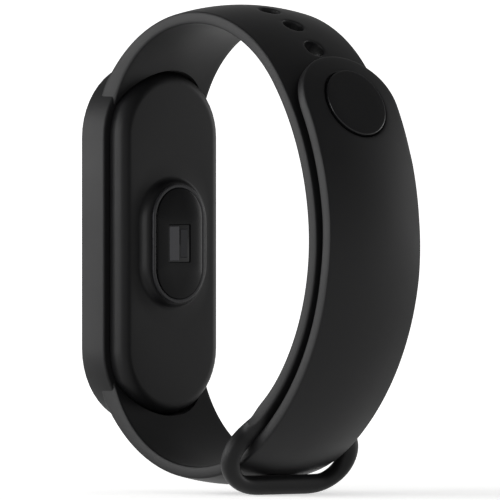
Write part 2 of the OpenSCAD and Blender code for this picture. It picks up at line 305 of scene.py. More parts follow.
SILICONE = silicone_rubber()
HOUSING = textured_polycarbonate()
GLOSS = polished_polycarbonate()
STUD = satin_plastic("satin moulded ABS", "#0A0A0B", 0.24)
FRAME_PLASTIC = satin_plastic("satin painted frame", "#0E0E10", 0.3)
SEAL = satin_plastic("moulded nitrile seal", "#1C1C1E", 0.55, 0.2)
TRIM = satin_plastic("satin trim ring", "#1E1E20", 0.28, 0.5)
print("materials so far:", len(bpy.data.materials))


# %% [markdown]
# ## A mesh from arrays
#
# Pieces made in code arrive as a list of points and faces. This helper merges doubled points,
# points every face outwards, shades the mesh smooth and keeps crisp edges crisp.

# %% Mesh helper
def finish_mesh(mesh, sharp_angle=40.0):
    work = bmesh.new()
    work.from_mesh(mesh)
    bmesh.ops.remove_doubles(work, verts=work.verts, dist=0.002 * MM)
    bmesh.ops.recalc_face_normals(work, faces=work.faces)
    for face in work.faces:
        face.smooth = True
    work.to_mesh(mesh)
    work.free()
    mesh.set_sharp_from_angle(angle=math.radians(sharp_angle))
    return mesh


def piece_from(name, points, faces, material, sharp_angle=40.0):
    """Points are rows of millimetres."""
    mesh = bpy.data.meshes.new(name)
    mesh.from_pydata((np.asarray(points) * MM).tolist(), [], faces)
    finish_mesh(mesh, sharp_angle)
    mesh.materials.append(material)
    piece = bpy.data.objects.new(name, mesh)
    scene.collection.objects.link(piece)
    return piece


def apply_modifiers(piece):
    """Replaces the mesh with its evaluated shape and removes the modifiers."""
    graph = bpy.context.evaluated_depsgraph_get()
    mesh = bpy.data.meshes.new_from_object(piece.evaluated_get(graph), depsgraph=graph)
    piece.modifiers.clear()
    piece.data = mesh
    return piece


def soften(piece, *cutters):
    """Smooths a woven mesh by one level and cuts it, then keeps the result."""
    smooth = piece.modifiers.new("smooth", "SUBSURF")
    smooth.levels = smooth.render_levels = 1
    for cutter in cutters:
        cut = piece.modifiers.new("cut", "BOOLEAN")
        cut.operation = "DIFFERENCE"
        cut.solver = "EXACT"
        cut.object = cutter
    apply_modifiers(piece)
    for cutter in cutters:
        bpy.data.objects.remove(cutter)
    finish_mesh(piece.data, 50)


def report(piece):
    closed = bmesh.new()
    closed.from_mesh(piece.data)
    open_edges = sum(1 for edge in closed.edges if len(edge.link_faces) != 2)
    closed.free()
    print(f"{piece.name}: {len(piece.data.polygons)} faces, {open_edges} open edges")


# %% [markdown]
# ## The strap's path
#
# Seen from the side the strap is a chain of arcs that meet without a corner. Each arc is a
# centre, the radius of the strap's inner face and the span of its outward normal. Distances
# along the strap are measured on its outer face, from the stud, so that the holes are evenly
# spaced and the stud is at 0.

# %% Arcs of the two straps
def direction(angle):
    return np.array([math.cos(math.radians(angle)), math.sin(math.radians(angle))])


EDGE_T = 1.6
MID_T = 2.6
LAYER = MID_T + 0.08
ROOT_EXTRA = 1.2
N_ROOT, N_CORNER, N_SHOULDER, N_SIDE, N_END = 155, 105, 37, 5, -51.5
N_STUD = 27.3
CORNER_R, TOP_R, SIDE_R, LOW_R = 17, 19.5, 36.5, 31
ROOT = np.array([-19.6, 20.2])

corner_c = ROOT - CORNER_R * direction(N_ROOT)
top_c = corner_c + (CORNER_R - TOP_R) * direction(N_CORNER)
side_c = top_c + (TOP_R - SIDE_R) * direction(N_SHOULDER)
low_c = side_c + (SIDE_R - LOW_R) * direction(N_SIDE)
corner_low_c = corner_c * (1, -1)
run_start = corner_low_c + CORNER_R * direction(-N_CORNER)
run_offset = run_start - low_c
run_r = ((LOW_R + LAYER) ** 2 - run_offset @ run_offset) / (
    2 * (LOW_R + LAYER - run_offset @ direction(-N_CORNER)))
run_c = run_start - run_r * direction(-N_CORNER)
N_JOIN = math.degrees(math.atan2(*(run_c - low_c)[::-1]))

HOLE_ARCS = [
    (low_c, LOW_R, N_END, N_SIDE),
    (side_c, SIDE_R, N_SIDE, N_SHOULDER),
    (top_c, TOP_R, N_SHOULDER, N_CORNER),
    (corner_c, CORNER_R, N_CORNER, N_ROOT)]
STUD_ARCS = [
    (corner_low_c, CORNER_R, -N_ROOT, -N_CORNER),
    (run_c, run_r, -N_CORNER, N_JOIN),
    (low_c, LOW_R + LAYER, N_JOIN, N_SIDE),
    (side_c, SIDE_R + LAYER, N_SIDE, N_SHOULDER),
    (top_c, TOP_R + LAYER, N_SHOULDER, 70)]


class Path:
    """The inner face of a strap seen from the side, by length along its outer face."""

    def __init__(self, arcs):
        self.arcs = arcs
        spans = [(r + MID_T) * math.radians(b - a) for _, r, a, b in arcs]
        starts = np.concatenate([[0], np.cumsum(spans)])
        stud = next(i for i, arc in enumerate(arcs) if arc[2] <= N_STUD <= arc[3])
        centre, radius, first, _ = arcs[stud]
        self.marks = starts - starts[stud] - (radius + MID_T) * math.radians(N_STUD - first)

    def at(self, s):
        """Point on the inner face and the angle of the outward normal."""
        i = int(np.clip(np.searchsorted(self.marks, s) - 1, 0, len(self.arcs) - 1))
        centre, radius, first, last = self.arcs[i]
        inside = min(max(s, self.marks[0]), self.marks[-1])
        angle = first + math.degrees((inside - self.marks[i]) / (radius + MID_T))
        beyond = s - inside
        along = direction(angle + 90)
        return centre + radius * direction(angle) + beyond * along, angle

    def place(self, s, u, v):
        """The point at length s, u across and v out from the inner face."""
        base, angle = self.at(s)
        return np.array([u, *(base + v * direction(angle))])


hole_path = Path(HOLE_ARCS)
stud_path = Path(STUD_ARCS)
print("hole strap from", round(hole_path.marks[0], 1), "to", round(hole_path.marks[-1], 1), "mm")


# %% [markdown]
# ## How the strap is meshed
#
# A strap could be a box cut by cylinders, but a cut leaves long thin faces that shade badly.
# Here it is woven from four-sided faces instead: rows along the strap, columns across it, and
# a fan of rings wherever a round hole or recess needs one. Rounded lips are rows of the mesh,
# not a texture, so they catch the light as the real ones do.

# %% Weave helpers
PITCH = 5.3
CELL = 8
ROW = PITCH / CELL
HALF_CELL = PITCH / 2
EDGE_ROUND = 0.32


def rounded_edge(outline, inner_v, outer_v, radius=EDGE_ROUND):
    """Points from the outer face round the edge to the inner face, as (outwards, v)."""
    turns = [math.radians(a) for a in (60, 25)]
    upper = [(outline - radius + radius * math.cos(t), outer_v - radius + radius * math.sin(t))
             for t in turns]
    lower = [(outline - radius + radius * math.cos(t), inner_v + radius - radius * math.sin(t))
             for t in reversed(turns)]
    return upper + lower


class Weave:
    """Collects points and faces."""

    def __init__(self):
        self.points = []
        self.faces = []

    def add(self, point):
        self.points.append(point)
        return len(self.points) - 1

    def strip(self, first, second, closed=False):
        """Faces between two rows of the same length."""
        count = len(first)
        for k in range(count if closed else count - 1):
            n = (k + 1) % count
            self.faces.append((first[k], first[n], second[n], second[k]))

    def loft(self, rows, closed=False):
        for first, second in zip(rows, rows[1:]):
            self.strip(first, second, closed)


def square_ring(grid, r0, r1, c0, c1):
    """The points on the border of a block of the grid, in order round it."""
    return ([grid[r0][c] for c in range(c0, c1)] + [grid[r][c1] for r in range(r0, r1)]
            + [grid[r1][c] for c in range(c1, c0, -1)] + [grid[r][c0] for r in range(r1, r0, -1)])


# %% [markdown]
# ## The hole strap and its keeper loop
#
# The upper arm has a row of round holes and ends in an oval loop that holds the other arm
# down. Strap and loop are one moulding, so they are one mesh: the strap's outer columns run
# on into the loop's two arms, its middle columns turn over the lip of the opening, and the
# two arms meet in the bar at the far side.

# %% Build the hole strap
HALF_W = 8.5
OUTER_TURNS = (38, 82, 128)
INNER_TURNS = (322, 278, 232)
EDGE_TURNS = (24, 10, 350, 336)
MELT_REACH = 1.7
RIM_FILL = 0.55
HOLE_R = 1.5
STRETCHED_R = 2.05
LIP = 0.22
SIDE_COLUMNS = 4
FREE_HOLES, COVERED_HOLES = 4, 6
RIM_U = 6.35
KEEPER_MID = np.array([6.4, -28.45])
KEEPER_TILT = 248.0
KEEPER_R = 4.4
KEEPER_END = 5.9
KEEPER_STRAIGHT = 4.8
KEEPER_BAR = 1.35
FLARE = 1.35
FLARE_REACH = 2.6


def crown(u, half_width, edge_t, mid_t):
    return edge_t + (mid_t - edge_t) * (1 - (u / half_width) ** 2)


def thicken(angle):
    return ROOT_EXTRA * (max(0, abs(angle) - N_CORNER) / (N_ROOT - N_CORNER)) ** 2


def strap_columns(half_width):
    """Places of the columns across the flat of one face."""
    middle = np.linspace(-HALF_CELL, HALF_CELL, CELL + 1)
    aside = np.linspace(HALF_CELL, RIM_U, SIDE_COLUMNS + 1)[1:]
    outer = np.array([0.5, 1.0]) * (half_width - EDGE_ROUND - RIM_U) + RIM_U
    side = np.concatenate([aside, outer])
    return np.concatenate([-side[::-1], middle, side])


def punch(weave, path, faces_of, grids, row, column, radius):
    """Replaces a block of both faces with rings round a hole and lines the hole."""
    last = {}
    for face, grid in grids.items():
        border = square_ring(grid, row, row + CELL, column, column + CELL)
        middle = faces_of["s"][row + CELL // 2]
        flat = [np.array(faces_of[face][i]) for i in border]
        turns = [math.atan2(p[0] - middle, p[1]) for p in flat]
        rings = [border]
        for reach in (0.5, 0.0):
            ring = []
            for p, turn in zip(flat, turns):
                on_circle = np.array([middle + (radius + LIP) * math.sin(turn),
                                      (radius + LIP) * math.cos(turn)])
                s, u = reach * p + (1 - reach) * on_circle
                ring.append(weave.add(path.place(s, u, faces_of["height"](face, s, u))))
            rings.append(ring)
        for tilt in (50, 90):
            grow = radius + LIP * (1 - math.sin(math.radians(tilt)))
            sink = LIP * (1 - math.cos(math.radians(tilt)))
            ring = []
            for turn in turns:
                s, u = middle + grow * math.sin(turn), grow * math.cos(turn)
                v = faces_of["height"](face, s, u) + (sink if face == "in" else -sink)
                ring.append(weave.add(path.place(s, u, v)))
            rings.append(ring)
        weave.loft(rings, closed=True)
        last[face] = rings[-1]
    weave.strip(last["out"], last["in"], closed=True)


def build_hole_strap():
    weave = Weave()
    root_run = 3.0
    first = -(COVERED_HOLES * CELL + CELL // 2)
    end = hole_path.marks[0] + 0.5
    low_rows = end + (first * ROW - end) * np.linspace(0, 1, 30)[:-1] ** 1.5
    cells = np.arange(first, FREE_HOLES * CELL + CELL // 2 + 1) * ROW
    high_rows = np.linspace(cells[-1], hole_path.marks[-1] + root_run, 36)[1:]
    lengths = np.concatenate([low_rows, cells, high_rows])

    def half_width(s):
        return HALF_W + FLARE * math.exp(-(s - lengths[0]) / FLARE_REACH)

    def thickness(s):
        extra = thicken(hole_path.at(s)[1])
        end = math.exp(-(s - lengths[0]) / 2.0)
        return EDGE_T + extra + 0.9 * end, MID_T + extra + 0.1 * end

    def height(face, s, u):
        return 0 if face == "in" else crown(u, half_width(s), *thickness(s))

    grids = {"out": [], "in": []}
    flats = {"out": {}, "in": {}, "s": lengths, "height": height}
    edges = []
    for s in lengths:
        columns = strap_columns(half_width(s))
        melt = math.exp(-((s - lengths[0]) / MELT_REACH) ** 2)
        w, side_t = half_width(s), height("out", s, columns[-1])
        arm_u, arm_v = (w + RIM_U) / 2, thickness(s)[1] / 2

        def melted(u, v, turn):
            """Draws a point of the strap towards the round section of the loop's arm."""
            t = math.radians(turn)
            to_u = math.copysign(arm_u + (w - RIM_U) / 2 * math.cos(t), u)
            return u + melt * (to_u - u), v + melt * (arm_v + arm_v * math.sin(t) - v)

        for face, turns in (("out", OUTER_TURNS), ("in", INNER_TURNS)):
            row = []
            for c, u in enumerate(columns):
                v = height(face, s, u)
                depth = min(c, len(columns) - 1 - c)
                if depth < 3:
                    u, v = melted(u, v, turns[depth])
                index = weave.add(hole_path.place(s, u, v))
                flats[face][index] = (s, u)
                row.append(index)
            grids[face].append(row)
        profile = list(zip(rounded_edge(w, 0, side_t), EDGE_TURNS))
        edges.append([[weave.add(hole_path.place(s, *melted(side * u, v, turn)))
                       for (u, v), turn in profile] for side in (-1, 1)])

    start = len(low_rows)
    first_column = SIDE_COLUMNS + 2
    punched = {}
    for i in range(-COVERED_HOLES, FREE_HOLES + 1):
        row = start + (i + COVERED_HOLES) * CELL
        punch(weave, hole_path, flats, grids, row, first_column,
              STRETCHED_R if i == 0 else HOLE_R)
        punched[row] = row + CELL
    blocked = {r for row, end in punched.items() for r in range(row, end)}
    for face, grid in grids.items():
        for r in range(len(grid) - 1):
            for c in range(len(grid[0]) - 1):
                if r in blocked and first_column <= c < first_column + CELL:
                    continue
                weave.faces.append((grid[r][c], grid[r][c + 1], grid[r + 1][c + 1], grid[r + 1][c]))
    for r in range(len(lengths)):
        rims = []
        for side, end in ((0, 0), (1, -1)):
            rims.append([grids["out"][r][end], *edges[r][side], grids["in"][r][end]])
        edges[r] = rims
    for side in (0, 1):
        weave.loft([edges[r][side] for r in range(len(lengths))])
    cap = ([i for i in grids["out"][-1]] + edges[-1][1][1:-1]
           + list(reversed(grids["in"][-1])) + list(reversed(edges[-1][0][1:-1])))
    weave.faces.append(tuple(cap))
    add_keeper(weave, grids, edges)
    return weave


def add_keeper(weave, grids, edges):
    """Adds the loop to the end of the strap: the lip of the opening, two arms and the bar."""
    down = direction(KEEPER_TILT)
    out = direction(KEEPER_TILT + 90)
    rim_r = KEEPER_R - KEEPER_BAR

    def rim_at(turn):
        t = math.radians(turn)
        fill = RIM_FILL * max(0, math.cos(t)) * math.sin(t)
        return np.array([RIM_U + rim_r * math.sin(t) - fill, -rim_r * math.cos(t) + fill])

    def outline_at(turn):
        t = math.radians(turn)
        return np.array([KEEPER_STRAIGHT + (KEEPER_END + KEEPER_BAR) * math.sin(t),
                         -(KEEPER_R + KEEPER_BAR) * math.cos(t)])

    def in_loop(x, q, v):
        return np.array([x, *(KEEPER_MID + q * down + v * out)])

    def tube(centre, along, half_width, lean):
        """Points round a section, leaning towards the strap's own normal."""
        leant = np.array([0, *direction(KEEPER_TILT + 90 - lean)])
        points = []
        for turn in turns:
            a = math.radians(turn)
            flat = in_loop(*(centre + along * half_width * math.cos(a)), 0)
            points.append(flat + KEEPER_BAR * math.sin(a) * leant)
        return points

    # end row of the strap, turned over the lip of the opening
    row_out, row_in = grids["out"][0], grids["in"][0]
    columns = len(row_out)
    lip_rows = {}
    for c in range(2, columns - 2):
        top, bottom = (np.array(weave.points[i[c]]) for i in (row_out, row_in))
        middle, half = (top + bottom) / 2, (top - bottom) / 2
        target = in_loop(middle[0], -rim_r, 0)
        ahead = target - middle
        lip_rows[c] = [weave.add(middle + half * math.cos(t) + ahead * math.sin(t))
                       for t in (math.radians(a) for a in (40, 65, 90, 115, 140))]
    inner = range(2, columns - 2)
    rows = [[row_out[c] for c in inner]]
    rows += [[lip_rows[c][k] for c in inner] for k in range(5)]
    rows += [[row_in[c] for c in inner]]
    weave.loft(rows)

    def section_of_strap(side):
        ends = [0, 1, 2] if side < 0 else [columns - 1, columns - 2, columns - 3]
        edge = edges[0][0 if side < 0 else 1]
        return ([row_out[c] for c in ends] + lip_rows[ends[-1]]
                + [row_in[c] for c in reversed(ends)] + list(reversed(edge[1:-1])))

    turns = [*OUTER_TURNS, 146, 163, 180, 197, 214, *reversed(INNER_TURNS), *reversed(EDGE_TURNS)]
    arm = []
    # each pair is a turn round the rim of the opening and the turn it meets on the outline
    near_corner = [(26, 45), (42, 56), (58, 67), (74, 78), (90, 90)]
    far_corner = [(106, 102), (122, 113), (138, 124), (154, 138), (166, 153), (176, 168)]
    for rim_turn, outline_turn in near_corner + far_corner:
        rim, outline = rim_at(rim_turn), outline_at(outline_turn)
        half = np.linalg.norm(outline - rim) / 2
        arm.append(((rim + outline) / 2, (outline - rim) / (2 * half), half))
    bar = [(np.array([x, KEEPER_R]), np.array([0.0, 1.0]), KEEPER_BAR)
           for x in (4.8, 3.6, 2.4, 1.2, 0)]
    leans = [20, 11, 5, 1] + [0] * (len(arm) + len(bar) - 4)
    half_loop = [(*section, lean) for section, lean in zip(arm + bar, leans)]
    mirrored = [(c * (-1, 1), a * (-1, 1), h, lean) for c, a, h, lean in reversed(half_loop[:-1])]
    sections = [section_of_strap(1)]
    sections += [[weave.add(p) for p in tube(*section)] for section in half_loop + mirrored]
    sections.append(section_of_strap(-1))
    weave.loft(sections, closed=True)


weave = build_hole_strap()


# %% [markdown]
# ## Rings round a stadium
#
# The capsule's plan is a stadium: two half circles joined by straight sides. Housing, bezel,
# glass and window are all lofts between such rings, each given by its radius, its height in Y
# and half the length of its straight side.

# %% Stadium lofts
STRAIGHT = 14.4
ARC_STEPS = 24


def stadium_ring(radius, y, half):
    ring = []
    for start, z in ((0, half), (180, -half)):
        for k in range(ARC_STEPS + 1):
            t = math.radians(start + 180 * k / ARC_STEPS)
            ring.append((radius * math.cos(t), y, z + radius * math.sin(t)))
    return ring


def stadium_loft(name, rings, material, closed=False, sharp_angle=35):
    """Rings are (radius, y, half length). An open loft is capped at both ends."""
    weave = Weave()
    rows = [[weave.add(p) for p in stadium_ring(*ring)] for ring in rings]
    weave.loft(rows, closed=True)
    if closed:
        weave.strip(rows[-1], rows[0], closed=True)
    else:
        weave.faces += [tuple(rows[0]), tuple(reversed(rows[-1]))]
    return piece_from(name, weave.points, weave.faces, material, sharp_angle)


def rounded(profile, half, start, end, centre, radius, steps=6):
    """Adds a rounded corner from angle start to end, in the plane of radius and y."""
    for k in range(steps + 1):
        t = math.radians(start + (end - start) * k / steps)
        profile.append((centre[0] + radius * math.cos(t), centre[1] + radius * math.sin(t), half))
    return profile


def root_cutters():
    pocket = stadium_loft("pocket", [(9.25, -40, STRAIGHT), (9.25, -9.6, STRAIGHT)], SILICONE)
    ring = stadium_loft("ring room", [(10.2, -40, STRAIGHT), (10.2, -20.5, STRAIGHT)], SILICONE)
    return pocket, ring


# %% [markdown]
# The hole strap is woven, softened by one level, and cut where the capsule sits.

# %% Weave the hole strap
weave = build_hole_strap()
hole_strap_skin = piece_from("hole_strap_skin", weave.points, weave.faces, SILICONE, 60)
soften(hole_strap_skin, *root_cutters())
report(hole_strap_skin)
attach(hole_strap_skin, "strap")
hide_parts("hole_strap", "keeper_loop")


# %% [markdown]
# ## The stud strap and its tongue
#
# The lower arm passes through the loop, lies on the upper one and ends in a round tongue that
# carries the stud. It is one moulding, so it is one mesh here. When the stud is pulled out the
# tongue bends at its root.

# %% Build the stud strap
TIP_R = 8.3
RECESS_R, RECESS_FLOOR = 5.1, 1.85
NECK_R = 1.42
TIP_SPOKES, SIDE_SPOKES = 32, 8


def build_stud_strap():
    weave = Weave()
    root_run = 3.0
    begin = stud_path.marks[0] - root_run
    lengths = np.linspace(begin, -TIP_R, 110)
    hinge_s = -TIP_R * 2

    def half_width(s):
        return TIP_R + (HALF_W - TIP_R) * min(1, max(0, (hinge_s - s) / 8))

    def height(s, u):
        extra = thicken(stud_path.at(s)[1])
        reach = math.hypot(u, max(s, 0))
        return crown(min(reach, half_width(s)), half_width(s), EDGE_T + extra, MID_T + extra)

    rows = {"out": [], "in": []}
    rims = [[], []]
    for s in lengths:
        columns = strap_columns(half_width(s))
        rows["out"].append([weave.add(stud_path.place(s, u, height(s, u))) for u in columns])
        rows["in"].append([weave.add(stud_path.place(s, u, 0)) for u in columns])
        profile = rounded_edge(half_width(s), 0, height(s, columns[-1]))
        for side, sign in enumerate((-1, 1)):
            end = 0 if side == 0 else -1
            rims[side].append([rows["out"][-1][end],
                               *[weave.add(stud_path.place(s, sign * u, v)) for u, v in profile],
                               rows["in"][-1][end]])
    weave.loft(rows["out"])
    weave.loft(rows["in"])
    weave.loft(rims[0])
    weave.loft(rims[1])
    weave.faces.append(tuple(rows["out"][0] + rims[1][0][1:-1]
                             + list(reversed(rows["in"][0])) + list(reversed(rims[0][0][1:-1]))))

    # border of the round end: the last row, one side, the half circle and the other side
    inset = TIP_R - EDGE_ROUND
    turn = [(-TIP_R * (1 - k / SIDE_SPOKES), inset, 0) for k in range(1, SIDE_SPOKES)]
    turn += [(inset * math.sin(t), inset * math.cos(t), t)
             for t in (math.pi * k / TIP_SPOKES for k in range(TIP_SPOKES + 1))]
    turn += [(-TIP_R * k / SIDE_SPOKES, -inset, math.pi) for k in range(1, SIDE_SPOKES)]
    edge_profile = rounded_edge(0, 0, EDGE_T)
    around = [rims[1][-1]]
    for s, u, t in turn:
        ring = [weave.add(stud_path.place(s, u, height(s, u)))]
        for outwards, v in edge_profile:
            reach = outwards + EDGE_ROUND
            ring.append(weave.add(stud_path.place(
                s + reach * math.sin(t), u + reach * math.cos(t), v)))
        ring.append(weave.add(stud_path.place(s, u, 0)))
        around.append(ring)
    around.append(rims[0][-1])
    weave.loft(around)
    flat = [(-TIP_R, u) for u in strap_columns(TIP_R)[:-1]] + [(-TIP_R, inset)]
    flat += [(s, u) for s, u, _ in turn]
    border = {"out": rows["out"][-1] + [ring[0] for ring in around[1:-1]],
              "in": rows["in"][-1] + [ring[-1] for ring in around[1:-1]]}
    spokes = [math.atan2(s, u) for s, u in flat]

    def circle(radius, v=None):
        return [weave.add(stud_path.place(
            radius * math.sin(t), radius * math.cos(t),
            height(radius * math.sin(t), radius * math.cos(t)) if v is None else v(t)))
            for t in spokes]

    def between(face, radius, share):
        ring = []
        for (s, u), t in zip(flat, spokes):
            s = share * s + (1 - share) * radius * math.sin(t)
            u = share * u + (1 - share) * radius * math.cos(t)
            ring.append(weave.add(stud_path.place(s, u, height(s, u) if face == "out" else 0)))
        return ring

    def top(t):
        return height(RECESS_R * math.sin(t), RECESS_R * math.cos(t))

    rings = [border["out"], between("out", RECESS_R + LIP, 0.6), between("out", RECESS_R + LIP, 0.25),
             circle(RECESS_R + LIP), circle(RECESS_R + 0.06, lambda t: top(t) - 0.08),
             circle(RECESS_R, lambda t: top(t) - 0.25),
             circle(RECESS_R, lambda t: RECESS_FLOOR + 0.08),
             circle(RECESS_R - 0.1, lambda t: RECESS_FLOOR),
             circle(3.2, lambda t: RECESS_FLOOR), circle(NECK_R, lambda t: RECESS_FLOOR),
             circle(NECK_R, lambda t: 0), circle(3.2, lambda t: 0),
             between("in", 3.2, 0.5), border["in"]]
    weave.loft(rings, closed=True)
    return weave


weave = build_stud_strap()
stud_strap_skin = piece_from("stud_strap_skin", weave.points, weave.faces, SILICONE, 60)
soften(stud_strap_skin, *root_cutters())
report(stud_strap_skin)
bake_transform(stud_strap_skin)
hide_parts("stud_strap", "strap_tongue")


# %% [markdown]
# ## The carrier ring
#
# The ring that grips the capsule is part of the strap moulding. Its front edge is rounded, the
# same all round; on the real ring it draws back at the two ends, where the straps pull on it.

# %% Build the carrier ring
RING_R, RING_BORE, SEAT_BORE = 10.22, 9.15, 9.65
RING_FRONT, RING_SEAT, RING_REAR = -24.95, -23.66, -20.2

profile = [(RING_BORE, RING_REAR, STRAIGHT), (RING_BORE, RING_SEAT, STRAIGHT),
           (SEAT_BORE, RING_SEAT, STRAIGHT), (SEAT_BORE, RING_FRONT + 0.15, STRAIGHT),
           (SEAT_BORE + 0.1, RING_FRONT, STRAIGHT)]
rounded(profile, STRAIGHT, -90, 0, (RING_R - 0.42, RING_FRONT + 0.42), 0.42)
rounded(profile, STRAIGHT, 0, 90, (RING_R - 0.3, RING_REAR - 0.3), 0.3, 4)
carrier_skin = stadium_loft("carrier_skin", profile, SILICONE, closed=True)
report(carrier_skin)
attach(carrier_skin, "strap")
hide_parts("carrier_frame")


# %% [markdown]
# ## Rings that follow a path
#
# The trim ring, the mid frame and the seal have one shape in common: a small rounded section
# carried round a stadium. That is a rule rather than a drawing, so one Geometry Nodes tree
# makes all of them. Its inputs are the sizes a toolmaker would ask for.

# %% A node tree for rings
RING_INPUTS = ("Path width", "Path length", "Section width", "Section depth", "Edge radius",
               "Middle height")


def new_node_tree(name, inputs):
    tree = bpy.data.node_groups.new(name, "GeometryNodeTree")
    for label in inputs:
        tree.interface.new_socket(label, in_out="INPUT", socket_type="NodeSocketFloat")
    tree.interface.new_socket("Material", in_out="INPUT", socket_type="NodeSocketMaterial")
    tree.interface.new_socket("Geometry", in_out="OUTPUT", socket_type="NodeSocketGeometry")
    return tree, add_node(tree, "NodeGroupInput").outputs


def end_tree(tree, geometry, material):
    """Every tree ends in real, smooth, painted geometry."""
    real = add_node(tree, "GeometryNodeRealizeInstances", [(geometry, "Geometry")])
    smooth = add_node(tree, "GeometryNodeSetShadeSmooth", [(real.outputs[0], "Geometry")])
    paint = add_node(tree, "GeometryNodeSetMaterial",
                     [(smooth.outputs[0], "Geometry"), (material, "Material")])
    add_node(tree, "NodeGroupOutput", [(paint.outputs[0], "Geometry")])
    return tree


def rounded_rectangle(tree, width, height, radius, count):
    shape = add_node(tree, "GeometryNodeCurvePrimitiveQuadrilateral",
                     [(width, "Width"), (height, "Height")])
    return add_node(tree, "GeometryNodeFilletCurve",
                    [(shape.outputs[0], "Curve"), (radius, "Radius")],
                    mode="POLY", Count=count, Limit_Radius=True).outputs[0]


def ring_tree():
    tree, given = new_node_tree("ring round a stadium", RING_INPUTS)
    half = add_node(tree, "ShaderNodeMath", [(given["Path width"], 0)], operation="MULTIPLY")
    half.inputs[1].default_value = 0.49999
    path = rounded_rectangle(tree, given["Path width"], given["Path length"],
                             half.outputs[0], 24)
    flat = add_node(tree, "GeometryNodeSetCurveNormal", [(path, "Curve")], mode="Z_UP")
    section = rounded_rectangle(tree, given["Section width"], given["Section depth"],
                                given["Edge radius"], 5)
    swept = add_node(tree, "GeometryNodeCurveToMesh",
                     [(flat.outputs[0], "Curve"), (section, "Profile Curve")])
    height = add_node(tree, "ShaderNodeCombineXYZ", [(given["Middle height"], "Y")])
    stood = add_node(tree, "GeometryNodeTransform",
                     [(swept.outputs[0], "Geometry"), (height.outputs[0], "Translation")],
                     Rotation=(math.pi / 2, 0, 0))
    return end_tree(tree, stood.outputs[0], given["Material"])


def grow(name, tree, material, values, sharp_angle=35):
    """Runs a tree with named values in millimetres or counts and keeps the mesh it makes."""
    piece = bpy.data.objects.new(name, bpy.data.meshes.new(name))
    scene.collection.objects.link(piece)
    modifier = piece.modifiers.new("grow", "NODES")
    modifier.node_group = tree
    sockets = {item.name: item.identifier for item in tree.interface.items_tree
               if item.in_out == "INPUT"}
    modifier[sockets["Material"]] = material
    for label, value in values.items():
        modifier[sockets[label]] = value * MM
    apply_modifiers(piece)
    piece.data.name = name
    finish_mesh(piece.data, sharp_angle)
    return piece


RING_TREE = ring_tree()


def grow_ring(name, material, inner_r, outer_r, half, y0, y1, edge):
    middle = inner_r + outer_r
    return grow(name, RING_TREE, material, {
        "Path width": middle, "Path length": middle + 2 * half,
        "Section width": outer_r - inner_r, "Section depth": y1 - y0,
        "Edge radius": edge, "Middle height": (y0 + y1) / 2})


seal_skin = grow_ring("housing_seal_skin", SEAL, 8.25, 8.9, STRAIGHT, -23.7, -23.5, 0.08)
print("seal box in mm:", [round(v / MM, 2) for v in seal_skin.dimensions])
report(seal_skin)
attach(seal_skin, "capsule")
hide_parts("housing_seal")


# %% [markdown]
# ## The capsule's rear housing
#
# The back of the capsule lies on the skin, so all its edges are round. The sensor stands on an
# island that swells out of the rear face with a hollow fillet, then turns over a round shoulder
# to the groove of the trim ring.

# %% Build the rear housing
BARREL_R, INNER_R = 9.05, 8.25
HOUSING_FRONT, FLOOR_Y, REAR_Y = -23.5, -18.5, -17.6
REAR_ROUND = 1.7
ISLAND_HALF, WINDOW_HALF = 2.95, 3.45

profile = [(3.55, FLOOR_Y, WINDOW_HALF), (INNER_R - 0.5, FLOOR_Y, STRAIGHT),
           (INNER_R, FLOOR_Y - 0.5, STRAIGHT), (INNER_R, HOUSING_FRONT, STRAIGHT),
           (BARREL_R - 0.1, HOUSING_FRONT, STRAIGHT), (BARREL_R, HOUSING_FRONT + 0.1, STRAIGHT)]
rounded(profile, STRAIGHT, 0, 90, (BARREL_R - REAR_ROUND, REAR_Y - REAR_ROUND), REAR_ROUND, 12)
profile += [(6.9, REAR_Y, 5.0), (6.35, REAR_Y + 0.01, ISLAND_HALF)]
profile += [(r, y, ISLAND_HALF) for r, y in (
    (6.1, -17.55), (5.9, -17.42), (5.74, -17.22), (5.62, -16.98), (5.5, -16.76), (5.36, -16.58),
    (5.2, -16.47), (5.05, -16.42))]
profile += [(4.78, -16.42, WINDOW_HALF), (4.74, -16.48, WINDOW_HALF), (4.74, -17.4, WINDOW_HALF),
            (3.55, -17.4, WINDOW_HALF)]
housing_skin = stadium_loft("rear_housing_skin", profile, HOUSING, closed=True)
PIN_X, PIN_Y = 3, REAR_Y - 3.4


def contact_cutter(x):
    """A drilled hole with a small countersink for one charging pin."""
    weave = Weave()
    rings = []
    for radius, z in ((0.95, -24.4), (0.95, -22.95), (0.77, -22.78), (0.77, -21.0)):
        rings.append([weave.add((x + radius * math.cos(t), PIN_Y + radius * math.sin(t), z))
                      for t in np.linspace(0, 2 * math.pi, 32, endpoint=False)])
    weave.loft(rings, closed=True)
    weave.faces += [tuple(rings[0]), tuple(reversed(rings[-1]))]
    return piece_from("contact cutter", weave.points, weave.faces, HOUSING)


for x in (-PIN_X, PIN_X):
    cutter = contact_cutter(x)
    cut = housing_skin.modifiers.new("contact hole", "BOOLEAN")
    cut.solver = "EXACT"
    cut.object = cutter
    apply_modifiers(housing_skin)
    bpy.data.objects.remove(cutter)
finish_mesh(housing_skin.data, 35)
report(housing_skin)
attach(housing_skin, "capsule")
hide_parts("rear_housing")


# %% [markdown]
# ## Window and trim
#
# A polished black window fills the island. A thin satin ring frames it and sits a little lower,
# so its inner and outer edges each catch a line of light.

# %% Build the trim ring and the window
WINDOW_R, WINDOW_Y, WINDOW_FLOOR = 4.15, -16.05, -17.4
OPTIC = (4.0, 5.2)

trim_skin = grow_ring("window_trim_skin", TRIM, WINDOW_R, 4.7, WINDOW_HALF, WINDOW_FLOOR, -16.15, 0.14)
report(trim_skin)
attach(trim_skin, "capsule")
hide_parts("window_trim")


